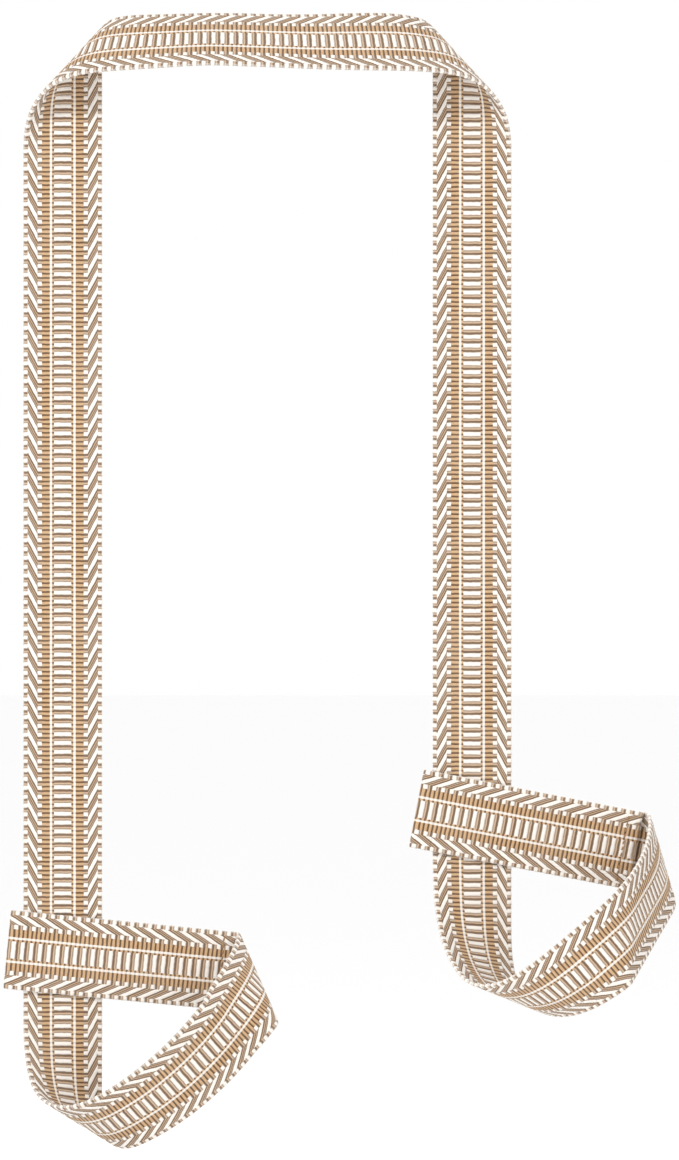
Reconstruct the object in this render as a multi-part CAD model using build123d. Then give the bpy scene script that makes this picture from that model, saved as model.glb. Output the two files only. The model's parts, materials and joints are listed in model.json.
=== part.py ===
from build123d import *

import os
from math import ceil, cos, pi, radians, sin

import numpy as np

# Stretching strap: one length of woven webbing. Its middle, the crown, lies over a shoulder or a
# hook. At each side the webbing turns down over a slanting fold into a leg. At the bottom of each
# leg it turns up again, crosses in front, turns back and is sewn into a flat sleeve, the keeper,
# that slides on its own leg, so that each end is a noose.
#
# Millimetres. +X to the right, +Y to the back, +Z up. The origin is on the underside of the crown,
# midway between the legs, where the strap hangs.

# Webbing
WIDTH = 38.0
THICK = 1.8
CLEAR = 0.4                 # gap between a leg and each layer of its keeper
JOINT_GAP = 0.3             # gap where a leg swings below its fold

# Crown and legs
LEG_X = 99.0                # half the distance between the legs' centre lines
LEG_Y = 24.5                # the legs hang this far behind the crown
LEG_TOP = -27.5             # height at which a leg's centre line enters the fold
HINGE_Z = -70.0             # height of the line on which a leg swings
CROWN_TILT = 47.5           # degrees between the crown's surface and the upright
RIDGE_X = -27.0             # the crown's highest line, a soft crease

# Keepers and end hems
LAYER = THICK + CLEAR       # from a leg's middle surface to that of either keeper layer
KEEPER_REACH = 24.0         # from a leg's centre line to the bend at the keeper's closed side
HEM_LENGTH = 12.0           # webbing turned under at that end
STITCH_ROW = 5.0            # from the end of the keeper's front layer to the row of stitches
STITCH = (1.6, 0.8, 0.4)    # one stitch: across the webbing, along it, and how far it stands out
STITCH_GAP = 0.05           # between a stitch and the webbing's surface
STITCH_PITCH = 3.0
STITCH_COUNT = 11

# The keeper's front layer lies flat over the leg, comes in towards the back layer beside it, and
# lifts again towards its sewn end.
FLAT_REACH = 44.0           # from the bend to where the front layer leaves the leg
LOW_REACH = 14.0            # from the sewn end to where the front layer is lowest
LOW_DEPTH = 1.4             # from the leg's middle surface to the front layer's, where it is lowest

LONGEST_STEP = 4.0          # between two rulings of a bend, along the webbing
LARGEST_TURN = 9.0          # between two rulings, in degrees

# A span is (length, bend, slant at its start, slant at its end, twist). The bend and the twist are
# in degrees. The slant is the tangent of the angle between the bend's axis and the line straight
# across the webbing, so a span with a slant turns the webbing sideways as it bends.
FOLD = [(18.5, 51, -1.7, -0.85, 0), (21, 41, -0.85, -0.35, 0)]
SIDES = {
    "left": {
        "sign": -1,
        "crown": [(40.5, 20, -0.35, 0, -1), (14, 4, 0, 0, 0)],
        "keeper_z": -439.0,
        "keeper_tilt": 5.6,
        "turn_z": -484.0,
        "turn": [(31, 40, 1.1, 0.65, 0), (41.5, 86.5, 0.65, 0.1, 0)],
        "rise": [(73.5, 54.5, 0.1, 0.05, -8), (12.5, 8, 0.05, 0.2, -13)],
        "apex": [(24, 37.5, 0.2, -1, 0), (21.5, 95, -1, 0, 0)],
        "keeper_length": 106.0,
    },
    "right": {
        "sign": 1,
        "crown": [(94, 24, -0.35, 0, 10), (14, 3, 0, 0, 0)],
        "keeper_z": -371.0,
        "keeper_tilt": 11.0,
        "turn_z": -406.5,
        "turn": [(60, 63, 1.1, 0.15, 0), (64.5, 73, 0.15, 0.8, 0)],
        "rise": [(41, 78, 0.8, -1.2, 0), (35, 0, -1.2, 0.5, 0)],
        "apex": [(31.5, 22, 0.5, -0.6, 0), (10.5, 79, -0.6, -0.4, 0), (8, 7, -0.4, 0, 0)],
        "keeper_length": 103.5,
    },
}


def unit(v):
    return v / np.linalg.norm(v)


def turned(v, axis, angle):
    """v turned about a unit axis by an angle, by the right-hand rule."""
    return v * cos(angle) + np.cross(axis, v) * sin(angle) + axis * (axis @ v) * (1 - cos(angle))


class Run:
    """A run of webbing as a row of rulings, the straight lines that a bent strip keeps.

    Each ruling has a station along the centre line, a point there, the directions along and
    across the webbing, and its slant. A bend is concave on the side of along x across.
    """

    def __init__(self, point, along, across, spans):
        point, along, across = (np.array(v, float) for v in (point, along, across))
        rows = [(0.0, point, along, across, spans[0][2])]
        self.ends = [0]
        for length, bend, slant_0, slant_1, twist in spans:
            count = max(ceil(length / LONGEST_STEP), ceil(bend / LARGEST_TURN))
            if bend == 0 and twist == 0:
                count = 1
            for k in range(count):
                slant = slant_0 + (slant_1 - slant_0) * (k + 0.5) / count
                spin = -radians(bend) * (across + slant * along) + radians(twist) * along
                angle = np.linalg.norm(spin) / count
                middle = along
                if angle > 0:
                    middle = turned(along, unit(spin), angle / 2)
                    across = turned(across, unit(spin), angle)
                    along = turned(along, unit(spin), angle)
                point = point + middle * length / count
                slant = slant_0 + (slant_1 - slant_0) * (k + 1) / count
                rows.append((rows[-1][0] + length / count, point, along, across, slant))
            self.ends.append(len(rows) - 1)
        self.station, self.point, self.along, self.across, self.slant = (
            np.array(column) for column in zip(*rows)
        )

    def frame(self, row):
        """The directions and the point at a ruling, as a 4 x 4 matrix."""
        along, across = self.along[row], self.across[row]
        matrix = np.eye(4)
        matrix[:3, :3] = np.column_stack([along, across, np.cross(along, across)])
        matrix[:3, 3] = self.point[row]
        return matrix

    def rulings(self):
        """Both edge points and the normal of each ruling, in three arrays."""
        reach = WIDTH / 2 * (self.across + self.slant[:, None] * self.along)
        return [self.point - reach, self.point + reach, np.cross(self.along, self.across)]


def frame_at(point, along, across):
    return Run(point, along, across, [(0, 0, 0, 0, 0)]).frame(0)


def eased(run, goal, start, end):
    """The run's rulings, led between two of its rows to a goal frame at its last ruling.

    The run is laid from its first ruling and again back from its goal, and eased from one to the
    other, which takes up the small difference between the two.
    """
    move = goal @ np.linalg.inv(run.frame(-1))
    left, right, normal = run.rulings()
    station = run.station
    t = np.clip((station - station[start]) / (station[end] - station[start]), 0, 1)
    weight = (t * t * (3 - 2 * t))[:, None]
    left = left + weight * (left @ move[:3, :3].T + move[:3, 3] - left)
    right = right + weight * (right @ move[:3, :3].T + move[:3, 3] - right)
    normal = normal + weight * (normal @ move[:3, :3].T - normal)
    return [left, right, np.array([unit(n) for n in normal])]


def rows_of(rulings, first, last):
    return [column[first : last + 1] for column in rulings]


def mirrored(rulings):
    return [column * (-1, 1, 1) for column in rulings]


def strip(rulings):
    """A closed solid of webbing through a row of rulings."""
    wires = []
    for left, right, normal in zip(*rulings):
        half = normal * THICK / 2
        corners = (left - half, right - half, right + half, left + half)
        wires.append(Wire.make_polygon([tuple(c) for c in corners], close=True))
    return Solid.make_loft(wires, ruled=True)


def save(node, shape):
    shape.label = node
    export_step(shape, f"parts/{node}.step")


# ------------------------------------------------------------------ crown, folds and legs

def crown_rulings(side):
    """Rulings from the top of a leg, over its fold, to the crown's ridge, and the fold's last row.

    They are worked out as for the left side and mirrored for the right.
    """
    sign = side["sign"]
    tilt = radians(CROWN_TILT)
    ridge = np.array([-sign * RIDGE_X, 0, 0])
    out = np.array([0, -cos(tilt), sin(tilt)])
    goal = frame_at(ridge + out * THICK / 2, (1, 0, 0), (0, -sin(tilt), -cos(tilt)))
    run = Run((-LEG_X, LEG_Y, LEG_TOP), (0, 0, 1), (-1, 0, 0), FOLD + side["crown"])
    rulings = eased(run, goal, run.ends[len(FOLD)], -1)
    return (rulings if sign < 0 else mirrored(rulings)), run.ends[len(FOLD)]


def level(x, y, z):
    """A ruling straight across a leg that faces the front, as one row."""
    reach = np.array([WIDTH / 2, 0, 0])
    centre = np.array([x, y, z])
    return [np.array([centre - reach]), np.array([centre + reach]), np.array([[0.0, -1.0, 0.0]])]


def joined(first, second):
    return [np.vstack(pair) for pair in zip(first, second)]


def make_crown():
    left, first = crown_rulings(SIDES["left"])
    right, second = crown_rulings(SIDES["right"])
    left = rows_of(left, first, len(left[0]))
    right = [column[:-1][::-1] for column in rows_of(right, second, len(right[0]))]
    return strip(joined(left, right))


def make_fold(side):
    """The slanting fold at a shoulder, with the short straight stub that the leg swings below."""
    rulings, last = crown_rulings(side)
    fold = rows_of(rulings, 0, last)
    sign = side["sign"]
    stub = level(sign * LEG_X, LEG_Y, HINGE_Z + THICK / 2 + JOINT_GAP)
    if sign < 0:
        stub = [stub[1], stub[0], stub[2]]
    return strip(joined(stub, fold))


def make_leg(side, noose):
    """A leg: its rounded top end turns on the hinge line, and its lower end meets the turn."""
    x = side["sign"] * LEG_X
    plate = strip(joined(level(x, LEG_Y, HINGE_Z), rows_of(noose, 0, 0)))
    end = Plane((x - WIDTH / 2, LEG_Y, HINGE_Z), z_dir=(1, 0, 0)) * Cylinder(
        THICK / 2, WIDTH, align=(Align.CENTER, Align.CENTER, Align.MIN)
    )
    return plate + end


# ------------------------------------------------------------------ nooses

def keeper_frame(side):
    """Point, along and across where the keeper's back layer meets its closed-side bend."""
    x = side["sign"] * LEG_X - KEEPER_REACH
    tilt = radians(side["keeper_tilt"])
    point = np.array([x, LEG_Y + LAYER, side["keeper_z"]])
    return point, np.array([-cos(tilt), 0, sin(tilt)]), np.array([-sin(tilt), 0, -cos(tilt)])


def noose_rulings(side):
    """Rulings from the foot of the leg to the keeper's back layer, and the rows between parts."""
    start = (side["sign"] * LEG_X, LEG_Y, side["turn_z"])
    spans = side["turn"] + side["rise"] + side["apex"]
    run = Run(start, (0, 0, -1), (1, 0, 0), spans)
    point, along, across = keeper_frame(side)
    goal = frame_at(point - along * side["keeper_length"], along, across)
    turn = run.ends[len(side["turn"])]
    rise = run.ends[len(side["turn"]) + len(side["rise"])]
    return eased(run, goal, turn, -1), turn, rise


def keeper_row(side, distance, depth):
    """A ruling across the keeper: its distance from the bend, and how far behind the leg."""
    point, along, across = keeper_frame(side)
    centre = point - along * distance + (0, depth - LAYER, 0)
    reach = across * WIDTH / 2
    return [np.array([centre - reach]), np.array([centre + reach]), np.array([[0.0, -1.0, 0.0]])]


def make_keeper_back(side, noose):
    return strip(joined([column[-1:] for column in noose], keeper_row(side, 0, LAYER)))


def make_keeper_side(side):
    """The bend at the keeper's closed side, from the back layer round to the front one."""
    bend = Run(*keeper_frame(side), [(pi * LAYER, 180, 0, 0, 0)])
    return strip(bend.rulings())


def front_depth(side, distance):
    """How far in front of the leg the keeper's front layer lies, at a distance from the bend."""
    lowest = side["keeper_length"] - LOW_REACH
    if distance < lowest:
        t = max(0, (lowest - distance) / (lowest - FLAT_REACH))
    else:
        t = (distance - lowest) / LOW_REACH
    t = min(t, 1)
    return LOW_DEPTH + (LAYER - LOW_DEPTH) * t * t * (3 - 2 * t)


def front_rows(side, first, last, inward):
    """Rulings of the front layer between two distances, sunk inward by a depth."""
    count = ceil((last - first) / LONGEST_STEP)
    rows = keeper_row(side, first, inward - front_depth(side, first))
    for k in range(count):
        distance = first + (last - first) * (k + 1) / count
        rows = joined(rows, keeper_row(side, distance, inward - front_depth(side, distance)))
    return rows


def make_keeper_front(side):
    return strip(front_rows(side, 0, side["keeper_length"], 0))


def make_end_hem(side):
    """The webbing turned under at the end of the keeper's front layer."""
    end = side["keeper_length"]
    return strip(front_rows(side, end - HEM_LENGTH, end, THICK))


def make_stitching(side):
    """One row of stitches through the end of the keeper, seen on its front and its back."""
    point, along, across = keeper_frame(side)
    distance = side["keeper_length"] - STITCH_ROW
    clear = THICK / 2 + STITCH_GAP + STITCH[2] / 2
    front = -LAYER - front_depth(side, distance)
    bars = []
    for k in range(STITCH_COUNT):
        offset = (k - (STITCH_COUNT - 1) / 2) * STITCH_PITCH
        for depth in (front - clear, clear):
            centre = point - along * distance + across * offset + (0, depth, 0)
            plane = Plane(tuple(centre), x_dir=tuple(across), z_dir=(0, -1, 0))
            bars.append(plane * Box(*STITCH))
    return Compound(children=bars)


# ------------------------------------------------------------------ all pieces

os.makedirs("parts", exist_ok=True)
save("crown_webbing", make_crown())
for name, side in SIDES.items():
    noose, turn, rise = noose_rulings(side)
    save(f"{name}_shoulder_fold", make_fold(side))
    save(f"{name}_leg_webbing", make_leg(side, noose))
    save(f"{name}_bottom_turn", strip(rows_of(noose, 0, turn)))
    save(f"{name}_noose_webbing", strip(rows_of(noose, turn, rise)))
    save(f"{name}_apex_turn", strip(rows_of(noose, rise, len(noose[0]))))
    save(f"{name}_keeper_back", make_keeper_back(side, noose))
    save(f"{name}_keeper_side", make_keeper_side(side))
    save(f"{name}_keeper_front", make_keeper_front(side))
    save(f"{name}_end_hem", make_end_hem(side))
    save(f"{name}_keeper_stitching", make_stitching(side))
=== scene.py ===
import json
from math import ceil, cos, pi, radians, sin

import bpy
import numpy as np
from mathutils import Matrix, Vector


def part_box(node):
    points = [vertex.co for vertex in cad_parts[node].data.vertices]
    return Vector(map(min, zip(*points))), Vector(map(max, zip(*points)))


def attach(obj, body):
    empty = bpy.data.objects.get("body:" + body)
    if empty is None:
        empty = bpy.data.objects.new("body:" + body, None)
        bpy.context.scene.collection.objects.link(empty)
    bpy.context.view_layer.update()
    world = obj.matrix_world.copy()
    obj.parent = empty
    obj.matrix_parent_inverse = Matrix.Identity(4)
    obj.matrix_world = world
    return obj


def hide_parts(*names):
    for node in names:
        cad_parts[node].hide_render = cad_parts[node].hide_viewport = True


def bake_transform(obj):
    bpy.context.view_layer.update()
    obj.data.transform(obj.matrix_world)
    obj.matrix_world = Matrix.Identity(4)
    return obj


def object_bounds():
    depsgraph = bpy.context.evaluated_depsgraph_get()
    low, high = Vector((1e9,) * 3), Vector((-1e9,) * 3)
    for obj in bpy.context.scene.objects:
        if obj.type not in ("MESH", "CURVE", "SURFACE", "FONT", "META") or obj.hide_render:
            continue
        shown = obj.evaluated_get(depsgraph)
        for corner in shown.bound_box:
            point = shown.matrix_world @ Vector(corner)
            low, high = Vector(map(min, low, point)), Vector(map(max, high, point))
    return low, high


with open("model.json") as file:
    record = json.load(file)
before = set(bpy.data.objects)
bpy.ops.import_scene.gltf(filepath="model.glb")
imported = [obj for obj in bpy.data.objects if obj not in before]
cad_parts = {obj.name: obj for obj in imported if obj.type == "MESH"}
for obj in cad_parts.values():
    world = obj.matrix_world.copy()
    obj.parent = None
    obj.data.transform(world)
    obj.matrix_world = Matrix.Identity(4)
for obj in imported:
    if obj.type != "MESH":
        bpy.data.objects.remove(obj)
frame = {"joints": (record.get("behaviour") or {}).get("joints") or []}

# Stretching strap: one length of jacquard webbing, hung over its middle, with a noose at each end.
#
# The whole strap is one surface, worked out from its flat coordinates: g runs along the webbing
# from the left end to the right end, 0 at the crown's ridge, and v runs across it. Every piece is a
# length of that surface, so neighbours meet exactly. The weave is a function of g and v, written
# once and used twice: for the relief of the mesh and for the colours of the material, which carry
# painted shade on the floats and painted shadow in the gaps between them.
#
# The webbing's shape is worked out in millimetres, as the frame's parts are, and each mesh is
# made in metres.

METRE = 1000.0
lowest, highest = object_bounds()

# ------------------------------------------------------------------ the frame's own sizes

joints = {joint["name"]: joint for joint in frame["joints"]}
swing = joints["right_leg_swing"]["pos_m"]
LEG_X = swing[0] * METRE
LEG_Y = swing[1] * METRE
HINGE_Z = swing[2] * METRE
leg_lo, leg_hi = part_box("left_leg_webbing")
WIDTH = (leg_hi.x - leg_lo.x) * METRE
THICK = (leg_hi.y - leg_lo.y) * METRE

# The design's other dimensions, as in the frame's parts
CLEAR = 0.4                 # between a leg and a keeper's layer
LAYER = THICK + CLEAR       # from the middle of a leg to the middle of a keeper's layer
LEG_TOP = -27.5             # z where the straight part of a leg ends
CROWN_TILT = 47.5           # of the crown's webbing at the ridge, in degrees from upright
RIDGE_X = -27.0             # where the webbing's flat coordinate g is 0
KEEPER_REACH = 24.0         # from a leg's middle to the keeper's closed side
FLAT_REACH = 44.0           # the keeper's front layer is flat this far from its closed side
LOW_REACH = 14.0            # from the sewn end to where the front layer is nearest the back one
LOW_DEPTH = 1.4             # from there back to the middle of the leg's thickness
HEM_LENGTH = 12.0
STITCH_ROW = 5.0            # from the sewn end to the row of stitches
STITCH = (2.1, 0.8, 0.5)    # across the webbing, along it, and how far it stands out
STITCH_PITCH = 3.0
STITCH_COUNT = 11
STITCH_LEAN = 0.15          # of a stitch's ends along the webbing
STITCH_POWER = 3            # how late a stitch thins towards its ends
STITCH_TIP = 0.02           # square of its thickness there, as a share of that at its middle
STITCH_RINGS = 9
STITCH_SIDES = 10

# A span is (length, bend, slant at its start, slant at its end, twist), with the bend and the
# twist in degrees and the slant as a tangent.
FOLD = [(18.5, 51, -1.7, -0.85, 0), (21, 41, -0.85, -0.35, 0)]
SIDES = {
    "left": {
        "sign": -1,
        "crown": [(40.5, 20, -0.35, 0, -1), (14, 4, 0, 0, 0)],
        "keeper_z": -439.0,
        "keeper_tilt": 5.6,
        "turn_z": -484.0,
        "turn": [(31, 40, 1.1, 0.65, 0), (41.5, 86.5, 0.65, 0.1, 0)],
        "rise": [(73.5, 54.5, 0.1, 0.05, -8), (12.5, 8, 0.05, 0.2, -13)],
        "apex": [(24, 37.5, 0.2, -1, 0), (21.5, 95, -1, 0, 0)],
        "keeper_length": 106.0,
    },
    "right": {
        "sign": 1,
        "crown": [(94, 24, -0.35, 0, 10), (14, 3, 0, 0, 0)],
        "keeper_z": -371.0,
        "keeper_tilt": 11.0,
        "turn_z": -406.5,
        "turn": [(60, 63, 1.1, 0.15, 0), (64.5, 73, 0.15, 0.8, 0)],
        "rise": [(41, 78, 0.8, -1.2, 0), (35, 0, -1.2, 0.5, 0)],
        "apex": [(31.5, 22, 0.5, -0.6, 0), (10.5, 79, -0.6, -0.4, 0), (8, 7, -0.4, 0, 0)],
        "keeper_length": 103.5,
    },
}

# ------------------------------------------------------------------ the strap's surface

FINEST_STEP = 0.8           # between two rulings along the webbing
SMALLEST_TURN = 1.5         # between two rulings, in degrees
HALF_TURN_ROWS = 24         # rulings round each of a keeper's two half turns


def unit(v):
    return v / np.linalg.norm(v)


def turned(v, axis, angle):
    """v turned about a unit axis by an angle, by the right-hand rule."""
    return v * cos(angle) + np.cross(axis, v) * sin(angle) + axis * (axis @ v) * (1 - cos(angle))


class Run:
    """A run of webbing as rulings: stations, points, directions along and across, and slants."""

    def __init__(self, point, along, across, spans):
        point, along, across = (np.array(v, float) for v in (point, along, across))
        rows = [(0.0, point, along, across, spans[0][2])]
        self.ends = [0]
        for length, bend, slant_0, slant_1, twist in spans:
            count = max(ceil(length / FINEST_STEP), ceil(bend / SMALLEST_TURN))
            for k in range(count):
                slant = slant_0 + (slant_1 - slant_0) * (k + 0.5) / count
                spin = -radians(bend) * (across + slant * along) + radians(twist) * along
                angle = np.linalg.norm(spin) / count
                middle = along
                if angle > 0:
                    middle = turned(along, unit(spin), angle / 2)
                    across = turned(across, unit(spin), angle)
                    along = turned(along, unit(spin), angle)
                point = point + middle * length / count
                slant = slant_0 + (slant_1 - slant_0) * (k + 1) / count
                rows.append((rows[-1][0] + length / count, point, along, across, slant))
            self.ends.append(len(rows) - 1)
        self.station, self.point, self.along, self.across, self.slant = (
            np.array(column) for column in zip(*rows)
        )

    def frame(self, row):
        along, across = self.along[row], self.across[row]
        matrix = np.eye(4)
        matrix[:3, :3] = np.column_stack([along, across, np.cross(along, across)])
        matrix[:3, 3] = self.point[row]
        return matrix


def frame_at(point, along, across):
    return Run(point, along, across, [(0, 0, 0, 0, 0)]).frame(0)


class Rows:
    """Rulings as arrays: station, centre point, reach per millimetre across, normal and slant."""

    def __init__(self, station, point, reach, normal, slant):
        self.station, self.point, self.reach = station, point, reach
        self.normal, self.slant = normal, slant

    def reversed(self):
        """The same rulings counted from the other end, with the same edges left and right."""
        return Rows(
            self.station[-1] - self.station[::-1], self.point[::-1], self.reach[::-1],
            self.normal[::-1], -self.slant[::-1],
        )

    def edges_swapped(self):
        return Rows(self.station, self.point, -self.reach, self.normal, -self.slant)

    def mirrored(self):
        flip = (-1, 1, 1)
        return Rows(
            self.station, self.point * flip, self.reach * flip, self.normal * flip, self.slant
        )

    def then(self, other):
        """These rulings followed by others, whose first ruling is this last one."""
        station = np.concatenate([self.station, self.station[-1] + other.station[1:]])
        pairs = [
            np.concatenate([mine, theirs[1:]])
            for mine, theirs in (
                (self.point, other.point), (self.reach, other.reach),
                (self.normal, other.normal), (self.slant, other.slant),
            )
        ]
        return Rows(station, *pairs)


def eased(run, goal, start, end):
    """The run's rulings, led between two of its rows to a goal frame at its last ruling."""
    move = goal @ np.linalg.inv(run.frame(-1))
    reach = run.across + run.slant[:, None] * run.along
    normal = np.cross(run.along, run.across)
    station = run.station
    t = np.clip((station - station[start]) / (station[end] - station[start]), 0, 1)
    weight = (t * t * (3 - 2 * t))[:, None]
    point = run.point + weight * (run.point @ move[:3, :3].T + move[:3, 3] - run.point)
    reach = reach + weight * (reach @ move[:3, :3].T - reach)
    normal = normal + weight * (normal @ move[:3, :3].T - normal)
    normal = normal / np.linalg.norm(normal, axis=1)[:, None]
    return Rows(station, point, reach, normal, run.slant)


def crown_rows(side):
    """From the ridge, over a shoulder fold, to the top of the leg, with the lower edge at +v."""
    sign = side["sign"]
    tilt = radians(CROWN_TILT)
    ridge = np.array([-sign * RIDGE_X, 0, 0])
    out = np.array([0, -cos(tilt), sin(tilt)])
    goal = frame_at(ridge + out * THICK / 2, (1, 0, 0), (0, -sin(tilt), -cos(tilt)))
    run = Run((-LEG_X, LEG_Y, LEG_TOP), (0, 0, 1), (-1, 0, 0), FOLD + side["crown"])
    rows = eased(run, goal, run.ends[len(FOLD)], len(run.station) - 1).reversed()
    return rows if sign < 0 else rows.mirrored()


def evenly(start, stop):
    """Even stations from start to stop, no further apart than the finest step."""
    return np.linspace(start, stop, ceil(abs(stop - start) / FINEST_STEP) + 1)


def keeper_path(side):
    """The keeper's section, as (distance from its closed side, depth behind the leg) pairs."""
    length = side["keeper_length"]
    path = [(d, LAYER) for d in evenly(length, 0)]
    for angle in np.linspace(0, pi, HALF_TURN_ROWS)[1:]:
        path.append((-LAYER * sin(angle), LAYER * cos(angle)))
    path += [(d, -front_depth(side, d)) for d in evenly(0, length)[1:]]
    for angle in np.linspace(0, pi, HALF_TURN_ROWS)[1:]:
        path.append((length + THICK / 2 * sin(angle), THICK / 2 * (1 - cos(angle)) - LAYER))
    under = evenly(length, length - HEM_LENGTH)[1:]
    path += [(d, THICK - front_depth(side, d)) for d in under]
    return np.array(path)


def front_depth(side, distance):
    """How far in front of the leg the keeper's front layer lies, at a distance from the bend."""
    nearest = side["keeper_length"] - LOW_REACH
    if distance < nearest:
        t = max(0, (nearest - distance) / (nearest - FLAT_REACH))
    else:
        t = (distance - nearest) / LOW_REACH
    t = min(t, 1)
    return LOW_DEPTH + (LAYER - LOW_DEPTH) * t * t * (3 - 2 * t)


def keeper_frame(side):
    x = side["sign"] * LEG_X - KEEPER_REACH
    tilt = radians(side["keeper_tilt"])
    point = np.array([x, LEG_Y + LAYER, side["keeper_z"]])
    return point, np.array([-cos(tilt), 0, sin(tilt)]), np.array([-sin(tilt), 0, -cos(tilt)])


def keeper_rows(side):
    """From the noose's tip round the keeper's closed side to the end of the hem."""
    point, along, across = keeper_frame(side)
    path = keeper_path(side)
    back = np.array([0.0, 1.0, 0.0])
    points = point - path[:, :1] * along + (path[:, 1:] - LAYER) * back
    way = np.gradient(points, axis=0)
    way = way / np.linalg.norm(way, axis=1)[:, None]
    station = np.concatenate([[0], np.cumsum(np.linalg.norm(np.diff(points, axis=0), axis=1))])
    reach = np.tile(across, (len(points), 1))
    return Rows(station, points, reach, np.cross(way, reach), np.zeros(len(points)))


def side_rows(side):
    """One side of the strap from the ridge to its end, and the stations between its parts."""
    crown = crown_rows(side)
    leg = Rows(
        np.array([0, LEG_TOP - side["turn_z"]]),
        np.array([[side["sign"] * LEG_X, LEG_Y, z] for z in (LEG_TOP, side["turn_z"])], float),
        np.array([[side["sign"], 0, 0]] * 2, float),
        np.array([[0, -1, 0]] * 2, float),
        np.array([0.0, 0.0]),
    )
    spans = side["turn"] + side["rise"] + side["apex"]
    run = Run((side["sign"] * LEG_X, LEG_Y, side["turn_z"]), (0, 0, -1), (1, 0, 0), spans)
    point, along, across = keeper_frame(side)
    goal = frame_at(point - along * side["keeper_length"], along, across)
    noose = eased(run, goal, run.ends[len(side["turn"])], len(run.station) - 1)
    end = noose.then(keeper_rows(side))
    if side["sign"] < 0:
        end = end.edges_swapped()
    leg.slant = np.array([crown.slant[-1], end.slant[0]])
    leg.reach = leg.reach + leg.slant[:, None] * np.array([[0, 0, -1.0]])
    rows = crown.then(leg).then(end)
    start = crown.station[-1] + leg.station[-1]
    turn = start + run.station[run.ends[len(side["turn"])]]
    rise = start + run.station[run.ends[len(side["turn"]) + len(side["rise"])]]
    tip = start + run.station[-1]
    marks = {"fold": crown.station[-1], "foot": start, "turn": turn, "rise": rise, "tip": tip}
    marks["side"] = tip + side["keeper_length"]
    marks["end"] = rows.station[-1]
    return rows, marks


class Strap:
    """The whole strap as rulings, with its ridge at g = 0."""

    def __init__(self):
        left, self.left = side_rows(SIDES["left"])
        right, self.right = side_rows(SIDES["right"])
        self.rows = left.reversed().then(right)
        self.station = self.rows.station - left.station[-1]

    def surface(self, g, v):
        """Points and normals at every pair of flat coordinates, as two arrays of rows x columns."""
        points = np.empty((len(g), len(v), 3))
        normals = np.empty_like(points)
        for column, offset in enumerate(v):
            flat = self.station + offset * self.rows.slant
            place = self.rows.point + offset * self.rows.reach
            for axis in range(3):
                points[:, column, axis] = np.interp(g, flat, place[:, axis])
                normals[:, column, axis] = np.interp(g, flat, self.rows.normal[:, axis])
        normals /= np.linalg.norm(normals, axis=2)[:, :, None]
        return points, normals


# ------------------------------------------------------------------ the weave

PERIOD = 4.28               # of the ladder's bars along the webbing
WARP_PITCH = 0.58           # of the yarns that run along the webbing
CHEVRON_RISE = 1.85         # millimetres along the webbing for each one across it

# Bands of the pattern, as distances from the nearer edge in millimetres
SELVEDGE_END = 2.0
CHEVRON_END = 6.8
DOTS_END = 8.9
RIBS_END = 12.7
LINE_END = 13.9
GAP_END = 14.8

# How softly the bands meet, in millimetres
LADDER_SOFT = 0.25
BAND_SOFT = 0.15
LINE_SOFT = 0.12

# One period of a ladder, in shares of it: a white bar, the painted shade at its foot, a tan rib and
# a gap painted dark as shadow
BAR = (0.05, 0.53)
BAR_SOFT = 0.06
BAR_MIDDLE = 0.26
FOOT_MIDDLE = 0.58
RIB_MIDDLE = 0.71
GOLD_MIDDLE = 0.78
GAP_MIDDLE = 0.9
GAP_SHADE_STRENGTH = 0.85

# Two periods of the chevrons, in shares of them: a white stripe and the grooves beside it, painted
# dark as shadow
STRIPE = (0.2, 0.63)
STRIPE_SOFT = 0.035
STRIPE_MIDDLE = 0.41

# Shifts of the rows against the ladder, in shares of their own rhythm
RIBS_SHIFT = 0.1
DOTS_SHIFT = 0.07
CHEVRON_SHIFT = 0.16


class Field:
    """A number that varies over the surface, as a shader socket with ordinary arithmetic."""

    tree = None

    def __init__(self, socket):
        self.socket = socket

    def __add__(self, other):
        return math_node("ADD", self, other)

    def __sub__(self, other):
        return math_node("SUBTRACT", self, other)

    def __rsub__(self, other):
        return math_node("SUBTRACT", other, self)

    def __mul__(self, other):
        return math_node("MULTIPLY", self, other)

    def __truediv__(self, other):
        return math_node("DIVIDE", self, other)

    __radd__, __rmul__ = __add__, __mul__


def plug(node, index, value):
    if isinstance(value, Field):
        Field.tree.links.new(value.socket, node.inputs[index])
    else:
        node.inputs[index].default_value = value


def math_node(operation, *values):
    node = Field.tree.nodes.new("ShaderNodeMath")
    node.operation = operation
    for index, value in enumerate(values):
        plug(node, index, value)
    return Field(node.outputs[0])


def fraction(x):
    return math_node("FRACT", x) if isinstance(x, Field) else x - np.floor(x)


def absolute(x):
    return math_node("ABSOLUTE", x) if isinstance(x, Field) else np.abs(x)


def sine(x):
    return math_node("SINE", x) if isinstance(x, Field) else np.sin(x)


def smaller(x, y):
    return math_node("MINIMUM", x, y) if isinstance(x, Field) else np.minimum(x, y)


def larger(x, y):
    return math_node("MAXIMUM", x, y) if isinstance(x, Field) else np.maximum(x, y)


def step(x, low, high):
    """0 below low and 1 above high, with a smooth rise between them."""
    if not isinstance(x, Field):
        t = np.clip((x - low) / (high - low), 0, 1)
        return t * t * (3 - 2 * t)
    node = Field.tree.nodes.new("ShaderNodeMapRange")
    node.interpolation_type = "SMOOTHSTEP"
    for index, value in enumerate((x, low, high)):
        plug(node, index, value)
    return Field(node.outputs[0])


def band(x, low, high, soft):
    """1 between low and high, and 0 outside them."""
    return step(x, low - soft, low + soft) * (1 - step(x, high - soft, high + soft))


def hump(x, centre, half):
    """A rounded yarn: 1 at its centre and 0 at a distance of half and beyond."""
    return 1 - step(absolute(x - centre), 0.0, half)


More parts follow.
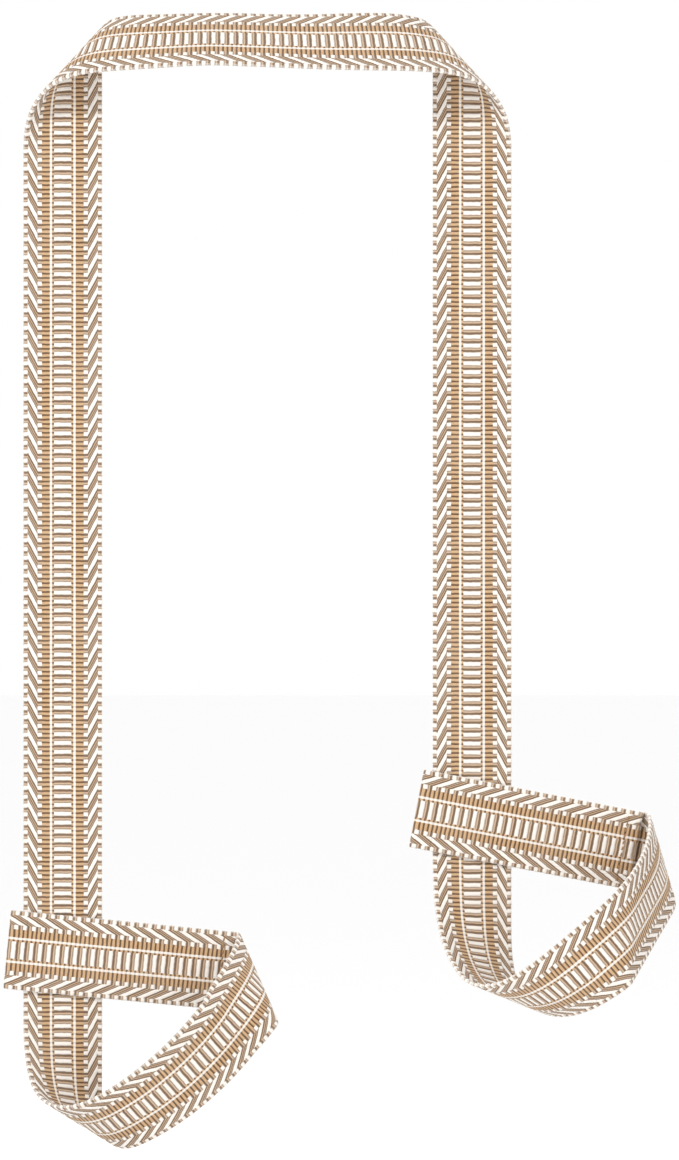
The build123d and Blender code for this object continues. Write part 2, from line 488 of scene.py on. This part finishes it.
def rung(beat):
    """(white, painted shadow, height) of one period of a ladder: a white bar with painted shade at
    its foot, a tan rib and a gap painted dark as shadow.
    """
    bar = band(beat, *BAR, BAR_SOFT)
    roll = 1 - step(absolute(beat - BAR_MIDDLE), 0.08, 0.32)
    # gap and foot are painted shade: a shadow in the gap before each bar and a fainter one at the
    # bar's foot
    gap = larger(1 - step(absolute(beat - GAP_MIDDLE), 0.04, 0.15), 1 - step(beat, 0.0, 0.06))
    foot = 0.3 * hump(beat, FOOT_MIDDLE, 0.07)
    height = larger(bar * (0.35 + 0.65 * roll), 0.7 * hump(beat, RIB_MIDDLE, 0.18))
    return bar, larger(gap, foot), height


def weave(g, v):
    """(white, painted shadow in the gaps and grooves, gold, height) of the webbing's face at flat
    coordinates, each from 0 to 1.
    """
    across = absolute(v)
    edge = WIDTH / 2 - across
    beat = fraction(g / PERIOD)

    # Ladder down the middle
    ladder = step(edge, GAP_END - LADDER_SOFT, GAP_END + LADDER_SOFT)
    bar, gap, tall = rung(beat)
    white = ladder * bar
    # Painted shadow in the gaps between the ladder's bars
    gap_shade = ladder * gap * GAP_SHADE_STRENGTH
    height = ladder * tall

    # Two golden ribs in each period, which run on under the white line
    ribs = band(edge, DOTS_END, GAP_END, BAND_SOFT)
    groove = 1 - step(absolute(fraction(g / PERIOD * 2 + RIBS_SHIFT) - 0.85), 0.08, 0.38)
    # Painted shadow in the groove between the ribs
    gap_shade = gap_shade + ribs * groove
    gold = ribs + ladder * hump(beat, GOLD_MIDDLE, 0.12) * 0.6
    height = height + ribs * 0.65 * (1 - groove)

    # A white warp line that floats over the ribs
    line = band(edge, RIBS_END, LINE_END, LINE_SOFT)
    bead = 1 - 0.35 * groove
    white = larger(white, line * 0.93)
    # Painted shadow between the white line's beads
    gap_shade = gap_shade * (1 - line) + line * groove * 0.12
    height = larger(height, line * bead)

    # White dots, level with the ladder's bars
    dots = band(edge, CHEVRON_END, DOTS_END, BAND_SOFT)
    bar, gap, tall = rung(fraction(beat + DOTS_SHIFT))
    white = white + dots * bar
    # Painted shadow in the gaps between the dots
    gap_shade = gap_shade + dots * gap * GAP_SHADE_STRENGTH
    height = height + dots * tall

    # Chevrons: a white stripe and two tan ones in every two periods, between thin grooves painted
    # dark as shadow
    chevrons = band(edge, SELVEDGE_END, CHEVRON_END, LINE_SOFT)
    rise = (across - (WIDTH / 2 - CHEVRON_END)) * CHEVRON_RISE
    slope = fraction((g - rise) / (2 * PERIOD) + CHEVRON_SHIFT)
    stripe = band(slope, *STRIPE, STRIPE_SOFT)
    roll = 1 - step(absolute(slope - STRIPE_MIDDLE), 0.1, 0.27)
    shaded_grooves = larger(
        larger(0.8 * hump(slope, 0.665, 0.12), 0.75 * hump(slope, 0.87, 0.12)),
        hump(slope, 0.115, 0.14),
    )
    gold = gold + chevrons * (1 - step(absolute(slope - 1.0), 0.1, 0.14)) * 0.7
    white = white + chevrons * stripe
    gap_shade = gap_shade + chevrons * shaded_grooves * (1 - stripe)
    height = height + chevrons * larger(stripe * (0.45 + 0.55 * roll), 0.7 * (1 - shaded_grooves))

    # Selvedge: the dots' rhythm again, with a pale binding at the very edge
    selvedge = 1 - step(edge, SELVEDGE_END - LINE_SOFT, SELVEDGE_END + LINE_SOFT)
    rim = 1 - step(edge, 0.1, 0.45)
    white = white + selvedge * larger(bar, rim * 0.75)
    # Painted shadow in the selvedge's gaps, less of it on the pale binding
    gap_shade = gap_shade + selvedge * gap * (0.8 - 0.6 * rim)
    height = height + selvedge * larger(tall, 0.35)
    return white, gap_shade, gold, height


def warp_ridge(v):
    """The fine ridges of the yarns that run along the webbing."""
    return 0.5 + 0.5 * sine(v * (2 * pi / WARP_PITCH))


# ------------------------------------------------------------------ meshes

ROWS_PER_PERIOD = 8
ROW = PERIOD / ROWS_PER_PERIOD
COLUMNS = 48                # across one face
UV_MARGIN = 0.01            # round the unwrapped layer
RELIEF = 0.3                # from the top of a float down to the gap beside it
SELVEDGE_BUMP = 0.15        # how far the edge stands out at each bump
BUMP = (0.08, 0.6)          # of each period, in shares of it
BUMP_SOFT = 0.15
SELVEDGE_TAPER = 0.9        # the webbing thins over this distance towards its edge
EDGE_THICK = 0.8            # of the webbing's thickness, at its edge


def half_thickness(v):
    t = np.clip((WIDTH / 2 - np.abs(v)) / SELVEDGE_TAPER, 0, 1)
    return THICK / 2 * (EDGE_THICK + (1 - EDGE_THICK) * np.sqrt(1 - (1 - t) ** 2))


def webbing(name, strap, first, last, material):
    """A length of the strap between two flat stations, as one closed mesh."""
    rows = np.arange(round(first / ROW), round(last / ROW) + 1) * ROW
    v = np.linspace(-WIDTH / 2, WIDTH / 2, COLUMNS + 1)
    points, normals = strap.surface(rows, v)
    height = weave(rows[:, None], v[None, :])[3]
    rise = (half_thickness(v)[None, :] - RELIEF * (1 - np.clip(height, 0, 1)))[:, :, None]
    front = points + normals * rise
    back = points - normals * rise
    outward = points[:, -1] - points[:, 0]
    outward /= np.linalg.norm(outward, axis=1)[:, None]
    beat = fraction(rows / PERIOD)
    bump = SELVEDGE_BUMP * band(beat, *BUMP, BUMP_SOFT)[:, None]
    left_rim = points[:, 0] - outward * bump
    right_rim = points[:, -1] + outward * bump
    ring = np.concatenate(
        [front, right_rim[:, None], back[:, ::-1], left_rim[:, None]], axis=1
    )
    across = np.concatenate([v, [WIDTH / 2], v[::-1], [-WIDTH / 2]])
    return tube(name, ring, rows, across, material)


def tube(name, ring, rows, across, material):
    """A closed mesh from rings of points, with its flat coordinates and an unwrapped layer."""
    count, around = ring.shape[:2]
    index = np.arange(count * around).reshape(count, around)
    following = np.roll(index, -1, axis=1)
    sides = np.stack(
        [index[:-1], index[1:], following[1:], following[:-1]], axis=2
    ).reshape(-1, 4)
    faces = sides.tolist() + end_faces(index)

    mesh = bpy.data.meshes.new(name)
    mesh.from_pydata((ring.reshape(-1, 3) / METRE).tolist(), [], faces)
    mesh.polygons.foreach_set("use_smooth", [True] * len(mesh.polygons))

    vertex = np.empty(len(mesh.loops), int)
    mesh.loops.foreach_get("vertex_index", vertex)
    flat = np.stack([np.repeat(rows, around), np.tile(across, count)], axis=1)[vertex]
    layer = mesh.uv_layers.new(name="Weave")
    layer.data.foreach_set("uv", flat.astype(np.float32).ravel())
    unwrap(mesh, ring, rows, vertex)

    mesh.materials.append(material)
    mesh.validate()
    mesh.update()
    piece = bpy.data.objects.new(name, mesh)
    bpy.context.scene.collection.objects.link(piece)
    return piece


def end_faces(index):
    """The faces that close both ends of a tube: quads between its faces, a triangle at each rim."""
    count, around = index.shape
    half = COLUMNS + 1
    front = index[:, :half]
    back = index[:, half + 1 : half + 1 + half][:, ::-1]
    faces = []
    for row, turn in ((0, 1), (count - 1, -1)):
        quads = np.stack([front[row, :-1], front[row, 1:], back[row, 1:], back[row, :-1]], axis=1)
        faces += quads[:, ::turn].tolist()
        for column, rim in ((half - 1, half), (0, around - 1)):
            corner = [front[row, column], index[row, rim], back[row, column]]
            flip = turn if column else -turn
            faces.append(np.array(corner[::flip]).tolist())
    return faces


def unwrap(mesh, ring, rows, vertex):
    """A layer for baked textures: the tube slit along one edge and laid flat, at one scale."""
    count, around = ring.shape[:2]
    steps = np.linalg.norm(np.diff(ring[0], axis=0, append=ring[0][:1]), axis=1)
    around_mm = np.concatenate([[0], np.cumsum(steps)])
    length = rows[-1] - rows[0]
    column = np.tile(np.arange(around), count - 1)
    low = np.repeat(np.arange(count - 1), around)
    u = np.stack([around_mm[column]] * 2 + [around_mm[column + 1]] * 2, axis=1)
    w = np.stack([rows[low], rows[low + 1], rows[low + 1], rows[low]], axis=1) - rows[0]
    size = max(around_mm[-1], length + 2 * THICK)
    corners = u.size
    baked = np.zeros((len(mesh.loops), 2))
    baked[:corners, 0] = u.ravel()
    baked[:corners, 1] = w.ravel() + THICK
    rest = np.arange(corners, len(mesh.loops))
    near_start = vertex[rest] < around
    baked[rest, 0] = around_mm[vertex[rest] % around]
    baked[rest, 1] = np.where(near_start, THICK / 2, length + 1.5 * THICK)
    layer = mesh.uv_layers.new(name="OFBake")
    layer.data.foreach_set(
        "uv", (UV_MARGIN + baked / size * (1 - 2 * UV_MARGIN)).astype(np.float32).ravel()
    )


# ------------------------------------------------------------------ materials

# Lit and shaded copies of the white, tan and gold yarns, for the painted shading of the floats
WHITE_LIT = (0.79, 0.74, 0.685, 1)
WHITE_SHADE = (0.47, 0.42, 0.375, 1)
TAN_LIT = (0.57, 0.43, 0.32, 1)
TAN_SHADED = (0.33, 0.225, 0.145, 1)
GOLD_LIT = (0.58, 0.38, 0.215, 1)
GOLD_SHADED = (0.32, 0.18, 0.08, 1)
# Painted shadow for the gaps and grooves between the floats
GAP_SHADOW = (0.085, 0.046, 0.022, 1)
WORN = (0.62, 0.55, 0.47, 1)
STITCH_DARK = (0.20, 0.10, 0.04, 1)
STITCH_LIGHT = (0.42, 0.24, 0.10, 1)
FLOOR_WHITE = (0.97, 0.97, 0.97, 1)

MIX_INPUTS = (0, 6, 7)      # a mix node's factor and its two colours
MIX_OUTPUT = 2
YARN_STRAY = (0.45, 0.3)    # of the yarns along the webbing and across it, in millimetres
WARP_WAVE = 0.04            # of the warp's ridges from side to side, in millimetres


def new_material(name):
    material = bpy.data.materials.new(name)
    material.use_nodes = True
    Field.tree = material.node_tree
    shader = material.node_tree.nodes["Principled BSDF"]
    return material, shader


def blended(factor, low, high):
    """A colour between two colours, each a constant or a socket."""
    node = Field.tree.nodes.new("ShaderNodeMix")
    node.data_type = "RGBA"
    for key, value in zip(MIX_INPUTS, (factor, low, high)):
        if isinstance(value, bpy.types.NodeSocket):
            Field.tree.links.new(value, node.inputs[key])
        else:
            plug(node, key, value)
    return node.outputs[MIX_OUTPUT]


def noise(vector, scale, detail=2.0):
    node = Field.tree.nodes.new("ShaderNodeTexNoise")
    node.inputs["Scale"].default_value = scale
    node.inputs["Detail"].default_value = detail
    Field.tree.links.new(vector, node.inputs["Vector"])
    return Field(node.outputs["Fac"])


def combined(x, y):
    node = Field.tree.nodes.new("ShaderNodeCombineXYZ")
    plug(node, 0, x)
    plug(node, 1, y)
    return node.outputs[0]


def webbing_material():
    material, shader = new_material("jacquard_webbing")
    tree = material.node_tree
    uv = tree.nodes.new("ShaderNodeUVMap")
    uv.uv_map = "Weave"
    split = tree.nodes.new("ShaderNodeSeparateXYZ")
    tree.links.new(uv.outputs[0], split.inputs[0])
    g, v = Field(split.outputs[0]), Field(split.outputs[1])

    # The yarns stray a little from where the pattern puts them
    wander = noise(combined(g, v), 0.35, 1.0) - 0.5
    drift = noise(combined(g * 0.6, v + 40.0), 0.5, 1.0) - 0.5
    g_yarn = g + wander * YARN_STRAY[0]
    v_yarn = v + drift * YARN_STRAY[1]
    white, gap_shade, gold, height = weave(g_yarn, v_yarn)
    ridge = warp_ridge(v_yarn + sine(g_yarn * (2 * pi / PERIOD * 2)) * WARP_WAVE)

    fibre = noise(combined(g * 3.0, v * 7.0), 1.0, 3.0)
    patch = noise(combined(g, v), 0.05, 2.0)
    # Painted shading: each float is painted lighter on top and darker down its sides and between
    # the warp ridges, from its height, with random fibre tone mixed in
    lit = height + (ridge - 0.5) * 0.35 + (fibre - 0.5) * 0.4
    shade = step(lit, 0.15, 0.85)
    tan = blended(shade, TAN_SHADED, TAN_LIT)
    golden = blended(shade, GOLD_SHADED, GOLD_LIT)
    ground = blended(smaller(gold, 1.0), tan, golden)
    pale = blended(shade, WHITE_SHADE, WHITE_LIT)
    yarn = blended(smaller(white, 1.0), ground, pale)
    # Painted shadow in the gaps and grooves between floats, scalloped by the warp ridges
    colour = blended(smaller(gap_shade * (0.75 + 0.25 * ridge), 1.0), yarn, GAP_SHADOW)
    worn = blended(larger((patch - 0.4) * 0.25, 0.0), colour, WORN)
    tree.links.new(worn, shader.inputs["Base Color"])

    rough = 0.78 + (fibre - 0.5) * 0.2
    tree.links.new(rough.socket, shader.inputs["Roughness"])
    shader.inputs["Specular IOR Level"].default_value = 0.3
    shader.inputs["Sheen Weight"].default_value = 0.15
    shader.inputs["Sheen Roughness"].default_value = 0.5

    bump = tree.nodes.new("ShaderNodeBump")
    bump.inputs["Strength"].default_value = 0.8
    bump.inputs["Distance"].default_value = 0.0006
    relief = height * 0.7 + ridge * 0.25 + fibre * 0.15
    tree.links.new(relief.socket, bump.inputs["Height"])
    tree.links.new(bump.outputs[0], shader.inputs["Normal"])
    return material


def thread_material():
    """Twisted sewing thread, darker than the webbing."""
    material, shader = new_material("sewing_thread")
    tree = material.node_tree
    place = tree.nodes.new("ShaderNodeTexCoord")
    fibre = noise(place.outputs["Object"], 2500.0, 3.0)
    colour = blended(fibre, STITCH_DARK, STITCH_LIGHT)
    tree.links.new(colour, shader.inputs["Base Color"])
    rough = 0.6 + fibre * 0.25
    tree.links.new(rough.socket, shader.inputs["Roughness"])
    shader.inputs["Sheen Weight"].default_value = 0.2
    bump = tree.nodes.new("ShaderNodeBump")
    bump.inputs["Strength"].default_value = 0.5
    bump.inputs["Distance"].default_value = 0.0002
    tree.links.new(fibre.socket, bump.inputs["Height"])
    tree.links.new(bump.outputs[0], shader.inputs["Normal"])
    return material


def plain_material(name, colour, roughness):
    material, shader = new_material(name)
    shader.inputs["Base Color"].default_value = colour
    shader.inputs["Roughness"].default_value = roughness
    return material


# ------------------------------------------------------------------ the strap's pieces

strap = Strap()
jacquard = webbing_material()
thread = thread_material()

BEND_REACH = 24.0           # a leg bends within this distance of its hinge
BLEND_SHARE = 0.9           # a share of that distance, which the bend piece works out and does not use further
FOLD_CUT = 45.0             # from the top of a leg back to where the crown's piece ends
FOOT_CUT = 12.0             # from the leg's last piece to where the turn at its foot begins
SIDE_CUTS = (4.0, 12.0)     # before and after the start of a keeper's side bend


def snapped(g):
    return round(g / PERIOD) * PERIOD


def spot(g):
    """The middle of the webbing at a flat station, in metres."""
    points, _ = strap.surface(np.array([g]), np.array([0.0]))
    return tuple(points[0, 0] / METRE)


def webbing_sheet(first, last):
    abs(last - first) / METRE


def make_side(name, marks, sign):
    """The pieces of one side. Stations here are counted from the ridge."""
    leg, keeper = f"{name}_leg", f"{name}_keeper"
    hinge_s = marks["fold"] + (LEG_TOP - HINGE_Z)
    cuts = {
        "fold": snapped(marks["fold"] - FOLD_CUT),
        "bend": snapped(hinge_s - BEND_REACH),
        "upper": snapped(hinge_s + BEND_REACH),
        "foot": snapped(marks["foot"] - FOOT_CUT),
        "turn": snapped(marks["turn"]),
        "rise": snapped(marks["rise"]),
        "tip": snapped(marks["tip"]),
        "side": snapped(marks["side"] - SIDE_CUTS[0]),
        "front": snapped(marks["side"] + SIDE_CUTS[1]),
        "end": marks["end"],
    }
    leg_third = (cuts["foot"] - cuts["upper"]) / 3
    cuts["middle"] = snapped(cuts["upper"] + leg_third)
    cuts["lower"] = snapped(cuts["upper"] + 2 * leg_third)
    plan = [
        ("shoulder_fold", "fold", "bend", "crown", ["shoulder_fold"]),
        ("leg_bend", "bend", "upper", None, []),
        ("leg_upper", "upper", "middle", leg, ["leg_webbing"]),
        ("leg_middle", "middle", "lower", leg, []),
        ("leg_lower", "lower", "foot", leg, []),
        ("bottom_turn", "foot", "turn", leg, ["bottom_turn"]),
        ("noose", "turn", "rise", None, ["noose_webbing"]),
        ("apex", "rise", "tip", keeper, ["apex_turn"]),
        ("keeper_back", "tip", "side", keeper, ["keeper_back"]),
        ("keeper_side", "side", "front", keeper, ["keeper_side"]),
        ("keeper_front", "front", "end", keeper, ["keeper_front", "end_hem"]),
    ]
    for part, start, stop, body, nodes in plan:
        first, last = sorted((sign * cuts[start], sign * cuts[stop]))
        piece = webbing(f"{name}_{part}_weave", strap, first, last, jacquard)
        if part == "leg_bend":
            x = sign * LEG_X / METRE
            y = LEG_Y / METRE
            reach = BEND_REACH * BLEND_SHARE
            (HINGE_Z + reach) / METRE
            (HINGE_Z - reach) / METRE
            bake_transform(piece)
        elif part == "noose":
            spot(sign * cuts["turn"])
            spot(sign * cuts["rise"])
            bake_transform(piece)
        else:
            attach(piece, body)
        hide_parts(*[f"{name}_{node}" for node in nodes])
        webbing_sheet(first, last)


def make_crown():
    left = snapped(strap.left["fold"] - FOLD_CUT)
    right = snapped(strap.right["fold"] - FOLD_CUT)
    piece = webbing("crown_band", strap, -left, right, jacquard)
    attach(piece, "crown")
    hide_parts("crown_webbing")
    webbing_sheet(-left, right)


def make_stitching(name, side):
    """A row of rounded stitches on the front and the back of a keeper, near its sewn end."""
    point, along, across = keeper_frame(side)
    forward = np.array([0.0, -1.0, 0.0])
    distance = side["keeper_length"] - STITCH_ROW
    faces, corners = [], []
    turns = np.linspace(0, 2 * pi, STITCH_SIDES, endpoint=False)
    for k in range(STITCH_COUNT):
        offset = (k - (STITCH_COUNT - 1) / 2) * STITCH_PITCH
        for depth in (LAYER + front_depth(side, distance) + THICK / 2, -THICK / 2):
            middle = point - along * distance + across * offset + forward * depth
            first = len(corners)
            for ring in np.linspace(-1, 1, STITCH_RINGS):
                thin = max(1 - abs(ring) ** STITCH_POWER, STITCH_TIP) ** 0.5
                for turn in turns:
                    corners.append(
                        middle + across * STITCH[0] / 2 * ring
                        + along * (STITCH[1] / 2 * thin * cos(turn) + STITCH_LEAN * ring)
                        + forward * STITCH[2] * thin * sin(turn)
                    )
            for ring in range(STITCH_RINGS - 1):
                for k_turn in range(STITCH_SIDES):
                    a = first + ring * STITCH_SIDES + k_turn
                    b = first + ring * STITCH_SIDES + (k_turn + 1) % STITCH_SIDES
                    faces.append((a, b, b + STITCH_SIDES, a + STITCH_SIDES))
            last = first + (STITCH_RINGS - 1) * STITCH_SIDES
            faces.append(tuple(range(first, first + STITCH_SIDES))[::-1])
            faces.append(tuple(range(last, last + STITCH_SIDES)))
    mesh = bpy.data.meshes.new(f"{name}_stitches")
    mesh.from_pydata((np.array(corners) / METRE).tolist(), [], faces)
    mesh.polygons.foreach_set("use_smooth", [True] * len(mesh.polygons))
    mesh.materials.append(thread)
    piece = bpy.data.objects.new(f"{name}_stitches", mesh)
    bpy.context.scene.collection.objects.link(piece)
    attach(piece, f"{name}_keeper")
    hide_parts(f"{name}_keeper_stitching")


make_crown()
make_side("left", strap.left, -1)
make_side("right", strap.right, 1)
for name, side in SIDES.items():
    make_stitching(name, side)

# ------------------------------------------------------------------ floor, light and camera

PICTURE_HEIGHT = 0.560      # metres shown from top to bottom, at the strap
CAMERA_DISTANCE = 6.0
CAMERA_AIM = (0.0349, 0.010, -0.2600)
CAMERA_CLIP = (0.1, 100)
SENSOR = 36.0
FLOOR_SIZE = 60
FLOOR_DROP = 0.06           # from the strap's lowest point to the floor
FLOOR_ROUGHNESS = 0.9

bpy.ops.mesh.primitive_plane_add(size=FLOOR_SIZE, location=(0, 0, lowest.z - FLOOR_DROP))
floor_plane = bpy.context.object
floor_plane.name = "floor"
floor_plane.data.materials.append(plain_material("floor_white", FLOOR_WHITE, FLOOR_ROUGHNESS))

world = bpy.data.worlds.new("studio")
bpy.context.scene.world = world
world.use_nodes = True
background = world.node_tree.nodes["Background"]
background.inputs["Color"].default_value = (1, 1, 1, 1)
background.inputs["Strength"].default_value = 1.0


def softbox(name, place, size, power):
    """A square area light aimed at the middle of the strap."""
    light = bpy.data.lights.new(name, "AREA")
    light.size = size
    light.energy = power
    holder = bpy.data.objects.new(name, light)
    bpy.context.scene.collection.objects.link(holder)
    holder.location = place
    aim = np.array(CAMERA_AIM) - np.array(place)
    holder.rotation_euler = Vector(aim).to_track_quat("-Z", "Y").to_euler()


softbox("key_light", (-1.1, -2.2, 1.5), 0.5, 44)
softbox("fill_light", (0.9, -1.6, -0.3), 0.8, 5)
softbox("back_light", (0.6, 1.6, 1.0), 1.2, 10)

camera = bpy.data.cameras.new("camera")
camera.sensor_width = SENSOR
camera.lens = SENSOR * CAMERA_DISTANCE / PICTURE_HEIGHT
camera.clip_start, camera.clip_end = CAMERA_CLIP
holder = bpy.data.objects.new("camera", camera)
bpy.context.scene.collection.objects.link(holder)
holder.location = (CAMERA_AIM[0], CAMERA_AIM[1] - CAMERA_DISTANCE, CAMERA_AIM[2])
holder.rotation_euler = (pi / 2, 0, 0)
bpy.context.scene.camera = holder
bpy.context.scene.view_settings.view_transform = "Standard"
